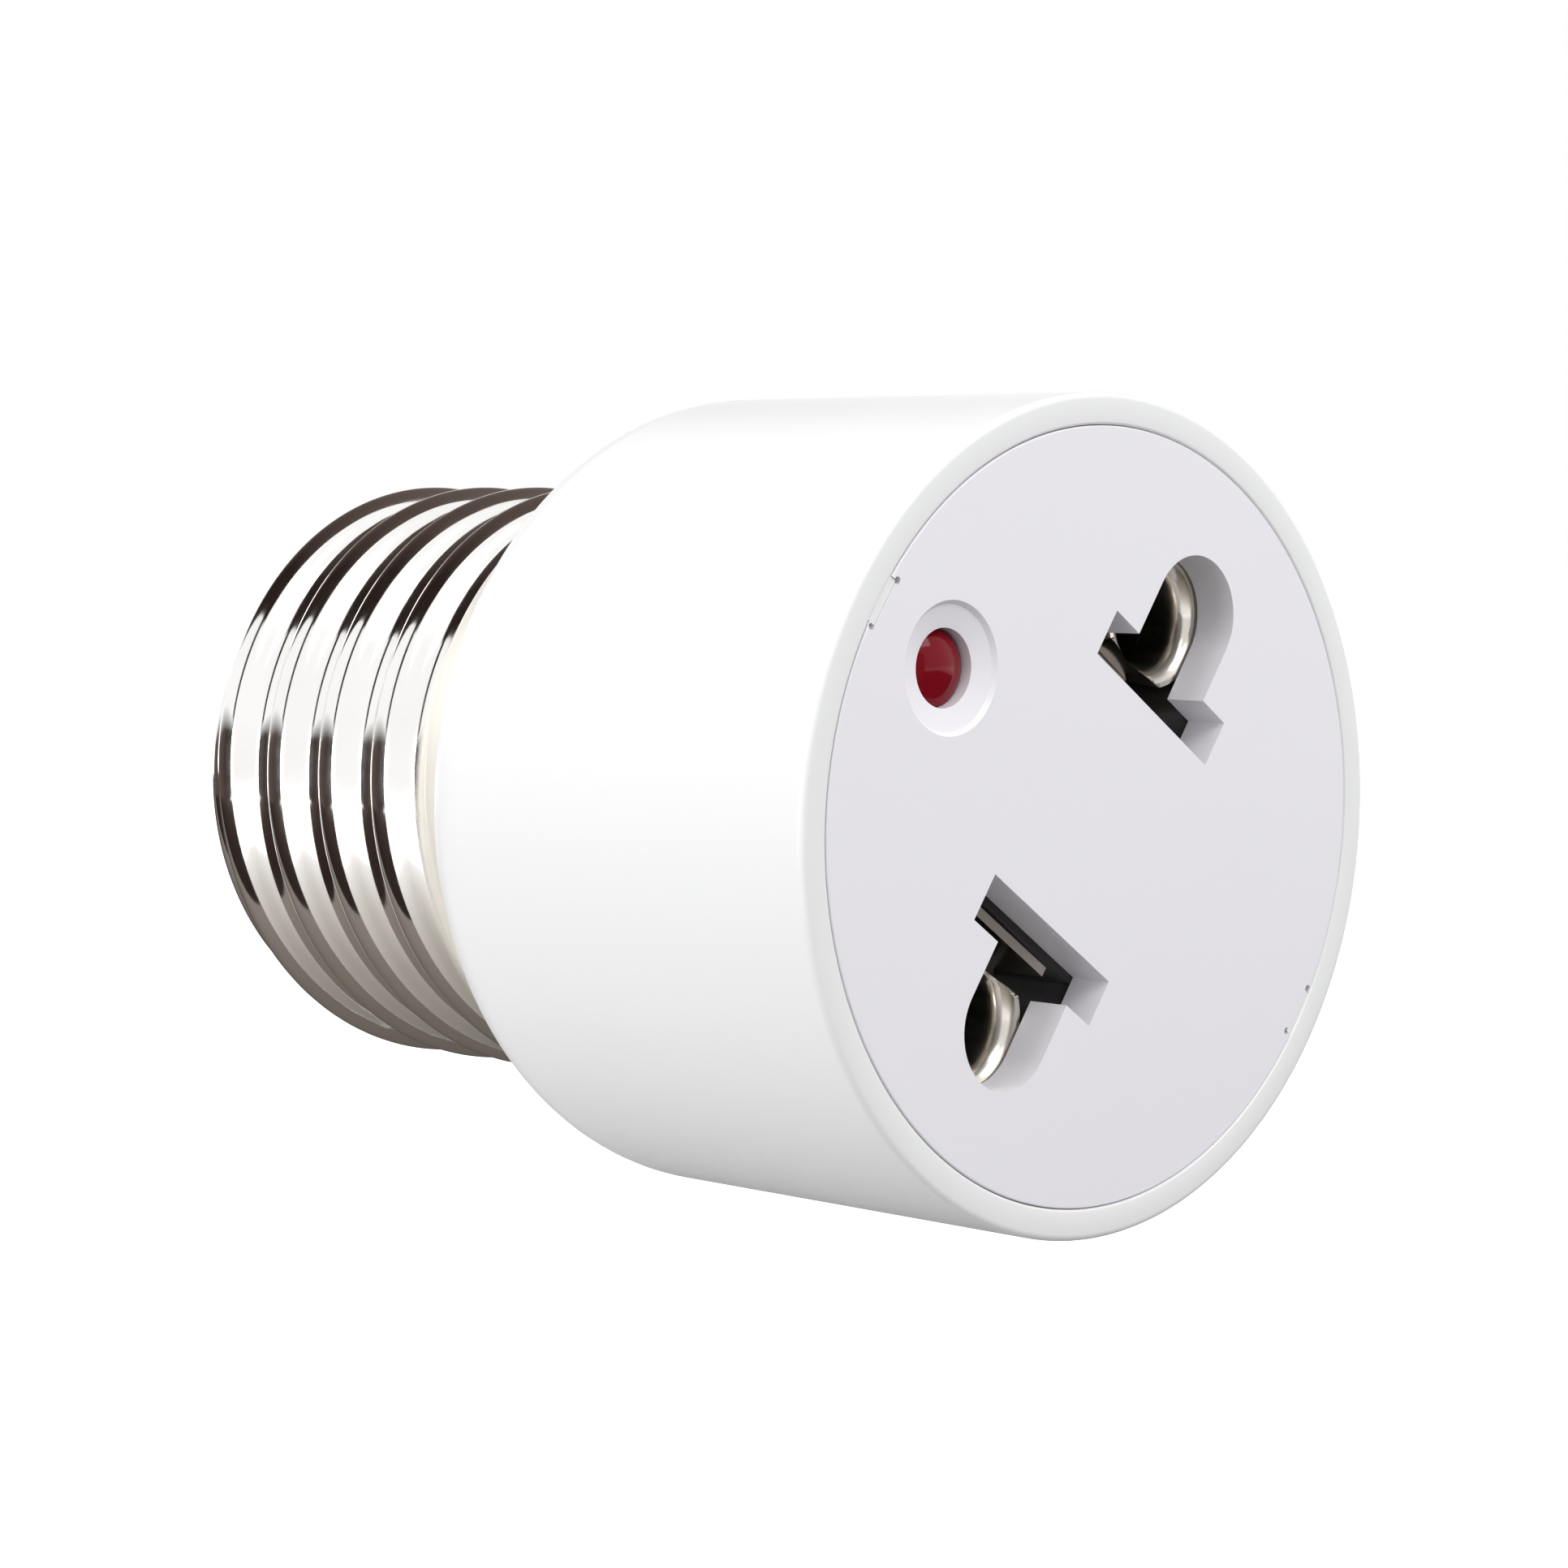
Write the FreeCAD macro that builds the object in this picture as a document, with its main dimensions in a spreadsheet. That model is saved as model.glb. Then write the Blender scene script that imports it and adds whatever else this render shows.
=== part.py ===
import FreeCAD, Part
import math
import os

from FreeCAD import Vector
import Sketcher

doc = FreeCAD.newDocument("socket_adapter")

# Driving dimensions, millimetres and degrees.
# The outlet face lies in the plane y = 0 and the axis of the screw base is +Y.
sheet = doc.addObject("Spreadsheet::Sheet", "sizes")
driving = [
    ("clock_angle", 54.75),  # how far the line of the two openings is turned from level
    ("body_diameter", 33.6),
    ("body_length", 23.3),
    ("mouth_round", 0.25),
    ("rear_round", 3.5),
    ("floor_thickness", 2.4),
    ("ledge_width", 0.9),
    ("rim_width", 1.28),
    ("cover_gap", 0.12),
    ("cover_thickness", 1.9),
    ("seat_gap", 0.05),
    ("key_width", 1.9),
    ("key_height", 0.45),
    ("key_gap", 0.1),
    ("slot_spacing", 12.25),
    ("slot_width", 2.05),
    ("slot_length", 8.2),
    ("pin_spacing", 19.0),
    ("pin_hole_diameter", 4.9),
    ("pin_hole_shift", 0.15),
    ("lamp_offset", 10.75),
    ("lamp_diameter", 2.95),
    ("lamp_flange_diameter", 3.8),
    ("lamp_flange_thickness", 0.9),
    ("lamp_length", 4.9),
    ("lamp_sink", 0.4),
    ("lamp_gap", 0.08),
    ("dish_diameter", 5.2),
    ("dish_depth", 0.75),
    ("lead_diameter", 0.5),
    ("lead_spacing", 2.54),
    ("lead_gap", 0.1),
    ("lead_step", 1.0),
    ("lead_slope", 4.0),
    ("meet_offset", 0.9),  # where a lead meets the tail of a contact
    ("joint_gap", 0.02),
    ("sleeve_start", 2.3),
    ("sleeve_length", 2.5),
    ("carrier_length", 13.0),
    ("carrier_floor", 1.8),
    ("carrier_gap", 0.12),
    ("carrier_core_width", 7.2),
    ("carrier_core_height", 15.0),
    ("carrier_web", 2.2),
    ("rib_width", 1.6),
    ("rib_height", 1.3),
    ("contact_thickness", 0.4),
    ("contact_gap", 0.12),
    ("sleeve_bore", 4.4),
    ("leaf_offset", 5.7),
    ("leaf_reach", 3.7),
    ("leaf_bend", 0.6),
    ("sleeve_slit", 30.0),
    ("tail_width", 3.0),
    ("tail_length", 3.9),
    ("tail_hole", 1.1),
    ("wire_shift", 0.7),
    ("wire_core", 0.9),
    ("wire_insulation", 1.8),
    ("wire_strip", 1.3),
    ("wire_level", 1.6),
    ("wire_drop", 2.6),
    ("wire_slope", 8.5),
    ("bend_share", 0.45),  # share of a straight run that its bend may take
    ("neck_wall", 1.6),
    ("neck_gap", 0.1),
    ("notch_width", 2.2),
    ("notch_offset", 1.45),
    ("shell_diameter", 26.2),
    ("shell_wall", 0.35),
    ("thread_pitch", 3.62),
    ("thread_round", 1.025),
    ("thread_count", 4),
    ("groove_start", 3.78),  # from the housing to the start of the first groove
    ("groove_angle", 215.0),  # where the first groove starts, round from +Z towards +X
    ("groove_fade", 90.0),
    ("crest_run", 60.0),  # how far the last crest runs past the last full turn
    ("crest_fade", 90.0),
    ("end_margin", 0.05),
    ("end_fade", 0.7),
    ("shell_sections", 48),
    ("shell_steps", 38),
    ("collar_length", 2.52),  # from the housing to the first full groove
    ("collar_margin", 0.52),  # how far the first groove reaches into the collar
    ("shoulder_round", 1.2),
    ("lip_width", 1.2),
    ("insulator_flange", 1.5),
    ("insulator_gap", 0.1),
    ("insulator_height", 3.3),
    ("insulator_edge", 0.6),
    ("insulator_tip_diameter", 11.2),
    ("contact_head_diameter", 9.4),
    ("contact_head_height", 1.3),
    ("contact_shank_diameter", 2.4),
    ("contact_shank_length", 6.0),
    ("resistor_diameter", 2.3),
    ("resistor_length", 6.3),
    ("resistor_offset", 2.5),
    ("resistor_height", 5.6),
    ("sleeve_wall", 0.3),
    ("solder_height", 0.6),
    ("solder_diameter", 2.2),
    ("solder_edge", 0.15),
]
for row, (alias, number) in enumerate(driving, 1):
    sheet.set("A%d" % row, alias)
    sheet.set("B%d" % row, str(number))
    sheet.setAlias("B%d" % row, alias)
doc.recompute()


class Sizes:
    """Plain numbers read back from the sheet, so that every place uses the same values."""


size = Sizes()
for alias, _ in driving:
    setattr(size, alias, float(getattr(sheet, alias)))

# Sizes that follow from the driving ones, as expressions for the sheet
mouth_radius = "(sizes.body_diameter / 2 - sizes.rim_width)"
cover_radius = f"({mouth_radius} - sizes.cover_gap)"
cavity_radius = f"({mouth_radius} - sizes.ledge_width)"
floor_y = "(sizes.body_length - sizes.floor_thickness)"
thread_depth = (
    "(2 * (sizes.thread_round - sqrt(sizes.thread_round ^ 2 - (sizes.thread_pitch / 4) ^ 2)))"
)
shell_root = f"(sizes.shell_diameter / 2 - {thread_depth})"
last_root_y = (
    "(sizes.body_length + sizes.collar_length"
    " + (sizes.thread_count + 0.5) * sizes.thread_pitch)"
)
shell_end_y = f"({last_root_y} + sizes.shoulder_round)"
neck_radius = f"({shell_root} - sizes.shell_wall - sizes.neck_gap)"
neck_bore = f"({neck_radius} - sizes.neck_wall)"
flange_front_y = f"({shell_end_y} - sizes.shell_wall - sizes.seat_gap)"
flange_rear_y = f"({flange_front_y} - sizes.insulator_flange)"
neck_end_y = f"({flange_rear_y} - sizes.seat_gap)"
carrier_front_y = "(sizes.cover_thickness + sizes.seat_gap)"
carrier_rear_y = f"({carrier_front_y} + sizes.carrier_length)"
carrier_radius = f"({cavity_radius} - sizes.carrier_gap)"
pocket_floor_y = f"({carrier_rear_y} - sizes.carrier_floor)"
contact_front_y = f"({carrier_front_y} + sizes.seat_gap)"
contact_rear_y = f"({pocket_floor_y} - sizes.seat_gap)"
half_sheet = "sizes.contact_thickness / 2"
sleeve_middle = "(sizes.sleeve_bore / 2 + sizes.contact_thickness / 2)"
pin_x = "sizes.pin_spacing / 2"
hole_x = "(sizes.pin_spacing / 2 + sizes.pin_hole_shift)"
slot_inner = "(sizes.slot_spacing / 2 - sizes.slot_width / 2)"
slot_outer = "(sizes.slot_spacing / 2 + sizes.slot_width / 2)"
tail_end_y = f"({carrier_rear_y} + sizes.tail_length)"
wire_y = f"({carrier_rear_y} + sizes.wire_level)"
lamp_base_y = "(sizes.lamp_sink + sizes.lamp_length)"
lamp_bore = "(sizes.lamp_flange_diameter / 2 + sizes.lamp_gap)"
head_y = f"({shell_end_y} + sizes.insulator_height)"
lip_radius = f"({shell_root} - sizes.shoulder_round - sizes.lip_width)"
notch_y = "(sizes.body_length + sizes.notch_offset)"


def number(text):
    """The value of an expression over the sheet."""
    return float(sheet.evalExpression(text))


def origin_part(body, role):
    return next(part for part in body.Origin.OriginFeatures if part.Role == role)


def new_body(label, extra_turn="0"):
    """A body whose local X runs along the line of the two openings."""
    body = doc.addObject("PartDesign::Body", label)
    body.Label = label
    body.Placement = FreeCAD.Placement(
        Vector(0, 0, 0), FreeCAD.Rotation(Vector(0, -1, 0), number("sizes.clock_angle"))
    )
    body.setExpression("Placement.Rotation.Angle", f"sizes.clock_angle + {extra_turn}")
    return body


def shift_body(body, x, z):
    """Moves a body across the face, in the turned frame."""
    turn = "sizes.clock_angle * 1 deg"
    body.setExpression("Placement.Base.x", f"({x}) * cos({turn}) - ({z}) * sin({turn})")
    body.setExpression("Placement.Base.z", f"({x}) * sin({turn}) + ({z}) * cos({turn})")


def new_sketch(body, name, role, level=None):
    sketch = body.newObject("Sketcher::SketchObject", f"{body.Name}_{name}")
    sketch.AttachmentSupport = [(origin_part(body, role), "")]
    sketch.MapMode = "FlatFace"
    if level is not None:
        sketch.setExpression("AttachmentOffset.Base.z", level)
    return sketch


def bind(sketch, constraint, text, name):
    """Adds one dimension and ties it to the sheet."""
    index = sketch.addConstraint(constraint)
    label = f"{name}_{index}"
    sketch.renameConstraint(index, label)
    sketch.setExpression(f"Constraints.{label}", text)


def fix_point(sketch, shape, end, x, y):
    bind(sketch, Sketcher.Constraint("DistanceX", -1, 1, shape, end, number(x)), x, "across")
    bind(sketch, Sketcher.Constraint("DistanceY", -1, 1, shape, end, number(y)), y, "along")


def fix_centre(sketch, shape, step):
    """Holds the centre of an arc along the way in which its two ends leave it free."""
    data = sketch.Geometry[shape]
    chord = data.EndPoint - data.StartPoint
    if abs(chord.y) > abs(chord.x):
        bind(sketch, Sketcher.Constraint("DistanceX", -1, 1, shape, 3, number(step[2])), step[2], "middle")
    else:
        bind(sketch, Sketcher.Constraint("DistanceY", -1, 1, shape, 3, number(step[3])), step[3], "middle")


def draw_loop(sketch, start, steps):
    """A closed outline: each step is (x, y), or (x, y, centre x, centre y, radius, turn)."""
    shapes = []
    here = start
    for step in steps:
        a = Vector(number(here[0]), number(here[1]), 0)
        b = Vector(number(step[0]), number(step[1]), 0)
        if len(step) == 2:
            index = sketch.addGeometry(Part.LineSegment(a, b), False)
            shapes.append((index, 1, 2))
        else:
            middle = Vector(number(step[2]), number(step[3]), 0)
            first, last = (a, b) if step[5] > 0 else (b, a)
            circle = Part.Circle(middle, Vector(0, 0, 1), (first - middle).Length)
            begin = math.atan2(first.y - middle.y, first.x - middle.x)
            finish = math.atan2(last.y - middle.y, last.x - middle.x)
            if finish <= begin:
                finish += 2 * math.pi
            index = sketch.addGeometry(Part.ArcOfCircle(circle, begin, finish), False)
            shapes.append((index, 1, 2) if step[5] > 0 else (index, 2, 1))
        here = step
    for this, following in zip(shapes, shapes[1:] + shapes[:1]):
        sketch.addConstraint(Sketcher.Constraint("Coincident", this[0], this[2], following[0], following[1]))
    for shape, step in zip(shapes, steps):
        fix_point(sketch, shape[0], shape[2], step[0], step[1])
        if len(step) == 6:
            fix_centre(sketch, shape[0], step)


def draw_circle(sketch, x, y, radius):
    circle = Part.Circle(Vector(number(x), number(y), 0), Vector(0, 0, 1), number(radius))
    index = sketch.addGeometry(circle, False)
    bind(sketch, Sketcher.Constraint("Radius", index, number(radius)), radius, "round")
    fix_point(sketch, index, 3, x, y)


def draw_box(sketch, left, right, low, high):
    draw_loop(sketch, (left, low), [(right, low), (right, high), (left, high), (left, low)])


def spin(body, name, sketch, kind="PartDesign::Revolution"):
    feature = body.newObject(kind, f"{body.Name}_{name}")
    feature.Profile = sketch
    feature.ReferenceAxis = (origin_part(body, "Y_Axis"), [""])
    feature.Angle = 360
    return feature


def pad(body, name, sketch, length, reverse=True, midplane=False):
    feature = body.newObject("PartDesign::Pad", f"{body.Name}_{name}")
    feature.Profile = sketch
    feature.setExpression("Length", length)
    feature.Midplane = midplane
    feature.Reversed = reverse
    return feature


def pocket(body, name, sketch, length=None, reverse=False):
    feature = body.newObject("PartDesign::Pocket", f"{body.Name}_{name}")
    feature.Profile = sketch
    if length is None:
        feature.Type = "ThroughAll"
    else:
        feature.setExpression("Length", length)
    feature.Reversed = reverse
    return feature


def polar(body, name, feature, count):
    pattern = body.newObject("PartDesign::PolarPattern", f"{body.Name}_{name}")
    pattern.Originals = [feature]
    pattern.Axis = (origin_part(body, "Y_Axis"), [""])
    pattern.Angle = 360
    pattern.Occurrences = count
    body.Tip = pattern
    return pattern


def make_housing():
    """The white body: mouth with the ledge for the cover, cavity, floor and neck."""
    body = new_body("housing")
    outer = "sizes.body_diameter / 2"
    long = "sizes.body_length"
    profile = new_sketch(body, "section", "XY_Plane")
    draw_loop(
        profile,
        (mouth_radius, "0"),
        [
            (f"{outer} - sizes.mouth_round", "0"),
            (outer, "sizes.mouth_round", f"{outer} - sizes.mouth_round", "sizes.mouth_round",
             "sizes.mouth_round", 1),
            (outer, f"{long} - sizes.rear_round"),
            (f"{outer} - sizes.rear_round", long, f"{outer} - sizes.rear_round",
             f"{long} - sizes.rear_round", "sizes.rear_round", 1),
            (neck_radius, long),
            (neck_radius, neck_end_y),
            (neck_bore, neck_end_y),
            (neck_bore, floor_y),
            (cavity_radius, floor_y),
            (cavity_radius, "sizes.cover_thickness"),
            (mouth_radius, "sizes.cover_thickness"),
            (mouth_radius, "0"),
        ],
    )
    spin(body, "turned", profile)
    keys = new_sketch(body, "key_outline", "XZ_Plane")
    draw_box(
        keys, "-sizes.key_width / 2", "sizes.key_width / 2",
        f"{mouth_radius} - sizes.key_height", f"{mouth_radius} + sizes.key_gap",
    )
    key = pad(body, "key", keys, "sizes.cover_thickness")
    polar(body, "keys", key, 2)
    ribs = new_sketch(body, "rib_outline", "XY_Plane")
    draw_box(
        ribs, f"{cavity_radius} - sizes.rib_height", f"{cavity_radius} + sizes.key_gap",
        f"{carrier_rear_y} + sizes.seat_gap", f"{floor_y} + sizes.key_gap",
    )
    rib = pad(body, "rib", ribs, "sizes.rib_width", midplane=True)
    polar(body, "ribs", rib, 4)
    notch = new_sketch(body, "notch_outline", "YZ_Plane")
    draw_box(
        notch, f"{notch_y} - sizes.notch_width / 2", f"{notch_y} + sizes.notch_width / 2",
        "-sizes.wire_shift - sizes.notch_width / 2", "-sizes.wire_shift + sizes.notch_width / 2",
    )
    pocket(body, "notch", notch)
    return body


def keyhole(sketch, side, grow, bore, middle, inner, outer, reach):
    """One opening: a slot for the blade joined to a round-ended channel for the pin."""
    half = f"({bore} / 2 + {grow})"
    low = f"{side} * ({inner})"
    high = f"{side} * ({outer})"
    draw_loop(
        sketch,
        (low, f"-({reach})"),
        [
            (high, f"-({reach})"),
            (high, f"-{half}"),
            (f"{side} * {middle}", f"-{half}"),
            (f"{side} * {middle}", half, f"{side} * {middle}", "0", half, side),
            (high, half),
            (high, reach),
            (low, reach),
            (low, f"-({reach})"),
        ],
    )


def make_cover():
    """The flush disc with both keyholes, the lamp hole in its dish and the two notches."""
    body = new_body("front_cover")
    disc = new_sketch(body, "disc_outline", "XZ_Plane")
    draw_circle(disc, "0", "0", cover_radius)
    pad(body, "disc", disc, "sizes.cover_thickness")
    for side in (1, -1):
        opening = new_sketch(body, f"keyhole_outline_{'right' if side > 0 else 'left'}", "XZ_Plane")
        keyhole(
            opening, side, "0", "sizes.pin_hole_diameter", hole_x,
            slot_inner, slot_outer, "sizes.slot_length / 2",
        )
        pocket(body, f"keyhole_{'right' if side > 0 else 'left'}", opening, reverse=False)
    notch = new_sketch(body, "notch_outline", "XZ_Plane")
    draw_box(
        notch, "-sizes.key_width / 2 - sizes.key_gap", "sizes.key_width / 2 + sizes.key_gap",
        f"{mouth_radius} - sizes.key_height - sizes.key_gap", f"{mouth_radius} + sizes.key_height",
    )
    cut = pocket(body, "notch", notch)
    polar(body, "notches", cut, 2)
    lamp = new_sketch(body, "lamp_outline", "XZ_Plane")
    draw_circle(lamp, "0", "sizes.lamp_offset", "sizes.lamp_diameter / 2 + sizes.lamp_gap")
    pocket(body, "lamp_hole", lamp)
    # The dish is the cap of a large ball that just reaches its depth.
    dish_round = (
        "((sizes.dish_diameter / 2) ^ 2 + sizes.dish_depth ^ 2) / (2 * sizes.dish_depth)"
    )
    dish = body.newObject("PartDesign::SubtractiveSphere", "front_cover_dish")
    dish.setExpression("Radius", dish_round)
    dish.AttachmentSupport = [(origin_part(body, "XZ_Plane"), "")]
    dish.MapMode = "FlatFace"
    dish.setExpression("AttachmentOffset.Base.y", "sizes.lamp_offset")
    dish.setExpression("AttachmentOffset.Base.z", f"{dish_round} - sizes.dish_depth")
    return body


def make_carrier():
    """The black insert: two pockets that hold the contacts, the lamp seat and a cored-out back."""
    body = new_body("contact_carrier")
    disc = new_sketch(body, "disc_outline", "XZ_Plane", f"-{carrier_front_y}")
    draw_circle(disc, "0", "0", carrier_radius)
    pad(body, "disc", disc, "sizes.carrier_length")
    for side in (1, -1):
        name = "right" if side > 0 else "left"
        hollow = new_sketch(body, f"pocket_outline_{name}", "XZ_Plane", f"-{carrier_front_y}")
        keyhole(
            hollow, side, "sizes.contact_gap", "(sizes.sleeve_bore + 2 * sizes.contact_thickness)", pin_x,
            f"sizes.leaf_offset - {half_sheet} - sizes.contact_gap",
            f"{slot_outer} + sizes.contact_gap",
            "sizes.slot_length / 2 + sizes.contact_gap",
        )
        pocket(body, f"pocket_{name}", hollow, "sizes.carrier_length - sizes.carrier_floor")
        way = new_sketch(body, f"way_outline_{name}", "XZ_Plane", f"-{carrier_front_y}")
        keyhole(
            way, side, "0", "sizes.pin_hole_diameter", pin_x,
            f"sizes.leaf_offset - {half_sheet} - sizes.contact_gap", slot_outer,
            "sizes.leaf_reach - sizes.contact_thickness",
        )
        pocket(body, f"way_{name}", way)
    seat = new_sketch(body, "lamp_seat_outline", "XZ_Plane", f"-{carrier_front_y}")
    draw_circle(seat, "0", "sizes.lamp_offset", lamp_bore)
    pocket(body, "lamp_seat", seat, f"{lamp_base_y} + sizes.seat_gap - {carrier_front_y}")
    for side, name in ((1, "right"), (-1, "left")):
        hole = new_sketch(body, f"lead_outline_{name}", "XZ_Plane", f"-{carrier_front_y}")
        draw_circle(
            hole, f"{side} * sizes.lead_spacing / 2", "sizes.lamp_offset",
            "sizes.lead_diameter / 2 + sizes.lead_gap",
        )
        pocket(body, f"lead_hole_{name}", hole)
    core = new_sketch(body, "core_outline", "XZ_Plane", f"-{carrier_rear_y}")
    draw_box(
        core, "-sizes.carrier_core_width / 2", "sizes.carrier_core_width / 2",
        "-sizes.carrier_core_height / 2", "sizes.carrier_core_height / 2",
    )
    pocket(body, "core", core, "sizes.carrier_length - sizes.carrier_web", reverse=True)
    return body


def make_contact(label, extra_turn, eye_side):
    """A folded strip: flat leaf for a blade, bend, and a split sleeve rolled round the pin."""
    body = new_body(label, extra_turn)
    left = f"(sizes.leaf_offset - {half_sheet})"
    right = f"(sizes.leaf_offset + {half_sheet})"
    bend_x = f"({right} + sizes.leaf_bend)"
    top = f"({sleeve_middle} + {half_sheet})"
    under = f"({sleeve_middle} - {half_sheet})"
    bend_z = f"({under} - sizes.leaf_bend)"
    slit = "(sizes.sleeve_slit * 1 deg)"
    outer_end = (f"{pin_x} - {top} * cos{slit}", f"{top} * sin{slit}")
    inner_end = (f"{pin_x} - {under} * cos{slit}", f"{under} * sin{slit}")
    section = new_sketch(body, "section", "XZ_Plane", f"-{contact_front_y}")
    draw_loop(
        section,
        (left, "-sizes.leaf_reach"),
        [
            (right, "-sizes.leaf_reach"),
            (right, bend_z),
            (bend_x, under, bend_x, bend_z, "sizes.leaf_bend", -1),
            (pin_x, under),
            (inner_end[0], inner_end[1], pin_x, "0", under, -1),
            outer_end,
            (pin_x, top, pin_x, "0", top, 1),
            (bend_x, top),
            (left, bend_z, bend_x, bend_z, "sizes.leaf_bend + sizes.contact_thickness", 1),
            (left, "-sizes.leaf_reach"),
        ],
    )
    pad(body, "strip", section, f"{contact_rear_y} - {contact_front_y}")
    tail = new_sketch(body, "tail_outline", "XZ_Plane", f"-{contact_rear_y}")
    draw_box(tail, left, right, "-sizes.tail_width / 2", "sizes.tail_width / 2")
    pad(body, "tail", tail, f"{tail_end_y} - {contact_rear_y}")
    eye = new_sketch(body, "eye_outline", "YZ_Plane")
    draw_circle(eye, wire_y, f"{eye_side} * sizes.wire_shift", "sizes.tail_hole / 2")
    pocket(body, "eye", eye, reverse=True)
    return body


def make_lamp():
    """The red lamp: domed cylinder with a flange at its base."""
    body = new_body("indicator_lamp")
    shift_body(body, "0", "sizes.lamp_offset")
    radius = "sizes.lamp_diameter / 2"
    flange = "sizes.lamp_flange_diameter / 2"
    flange_y = f"({lamp_base_y} - sizes.lamp_flange_thickness)"
    profile = new_sketch(body, "section", "XY_Plane")
    draw_loop(
        profile,
        ("0", "sizes.lamp_sink"),
        [
            (radius, f"sizes.lamp_sink + {radius}", "0", f"sizes.lamp_sink + {radius}", radius, 1),
            (radius, flange_y),
            (flange, flange_y),
            (flange, lamp_base_y),
            ("0", lamp_base_y),
            ("0", "sizes.lamp_sink"),
        ],
    )
    spin(body, "turned", profile)
    return body


def make_insulator():
    """The moulded end of the screw base: flange inside the shell, cone outside, bore for the nail."""
    body = new_body("tip_insulator")
    bore = "(sizes.contact_shank_diameter / 2 + sizes.insulator_gap / 2)"
    flange = f"({lip_radius} + sizes.lip_width)"
    cone = f"({lip_radius} - sizes.insulator_gap)"
    profile = new_sketch(body, "section", "XY_Plane")
    draw_loop(
        profile,
        (bore, flange_rear_y),
        [
            (flange, flange_rear_y),
            (flange, flange_front_y),
            (cone, flange_front_y),
            (cone, f"{shell_end_y} + sizes.insulator_edge"),
            ("sizes.insulator_tip_diameter / 2", head_y),
            (bore, head_y),
            (bore, flange_rear_y),
        ],
    )
    spin(body, "turned", profile)
    return body


def make_centre_contact():
    """The centre contact: a nail with a domed head that rests on the tip."""
    body = new_body("centre_contact")
    head = "sizes.contact_head_diameter / 2"
    high = "sizes.contact_head_height"
    dome = f"(({head}) ^ 2 + {high} ^ 2) / (2 * {high})"
    shank = "sizes.contact_shank_diameter / 2"
    profile = new_sketch(body, "section", "XY_Plane")
    draw_loop(
        profile,
        ("0", f"{head_y} - sizes.contact_shank_length"),
        [
            (shank, f"{head_y} - sizes.contact_shank_length"),
            (shank, head_y),
            (head, head_y),
            ("0", f"{head_y} + {high}", "0", f"{head_y} + {high} - {dome}", dome, 1),
            ("0", f"{head_y} - sizes.contact_shank_length"),
        ],
    )
    spin(body, "turned", profile)
    return body


def make_resistor():
    """A small axial resistor: barrel with rounded ends, parallel to the local Z axis."""
    body = new_body("series_resistor")
    shift_body(body, "sizes.resistor_offset", "sizes.resistor_height")
    profile = new_sketch(body, "section", "YZ_Plane")
    low = "-sizes.resistor_length / 2"
    high = "sizes.resistor_length / 2"
    edge = f"({resistor_y} + sizes.resistor_diameter / 2)"
    corner = "sizes.sleeve_wall"
    draw_loop(
        profile,
        (resistor_y, low),
        [
            (f"{edge} - {corner}", low),
            (edge, f"{low} + {corner}", f"{edge} - {corner}", f"{low} + {corner}", corner, 1),
            (edge, f"{high} - {corner}"),
            (f"{edge} - {corner}", high, f"{edge} - {corner}", f"{high} - {corner}", corner, 1),
            (resistor_y, high),
            (resistor_y, low),
        ],
    )
    barrel = body.newObject("PartDesign::Revolution", "series_resistor_turned")
    barrel.Profile = profile
    barrel.ReferenceAxis = (profile, ["Edge6"])
    barrel.Angle = 360
    return body


resistor_y = f"({carrier_rear_y} + sizes.resistor_diameter / 2 + sizes.carrier_gap)"


def eased(value):
    """0 before 0, 1 after 1 and a smooth rise between them."""
    value = max(0.0, min(1.0, value))
    return value * value * (3 - 2 * value)


def thread_height(angle, y):
    """Height of the rolled thread at one place: 0 in the groove and 1 on the crest."""
    pitch = size.thread_pitch
    ball = size.thread_round
    depth = number(thread_depth)
    turn = ((angle - size.groove_angle) % 360) / 360
    rise = (y - size.body_length - size.groove_start) / pitch - turn
    groove = max(0, round(rise))
    away = abs(rise - groove) * pitch
    if away < pitch / 4:
        height = (ball - math.sqrt(ball ** 2 - away ** 2)) / depth
    elif away < pitch / 2:
        height = 1 - (ball - math.sqrt(ball ** 2 - (pitch / 2 - away) ** 2)) / depth
    else:
        height = 1.0
    height = 1 - eased((groove + turn) * 360 / size.groove_fade) * (1 - height)
    crest_turn = (max(0, math.floor(rise)) + turn) * 360
    last_turn = (size.thread_count - 1) * 360 + size.crest_run
    height *= 1 - eased((crest_turn - last_turn) / size.crest_fade)
    to_end = number(last_root_y) - y
    return height * eased((to_end - size.end_margin) / size.end_fade)


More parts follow.
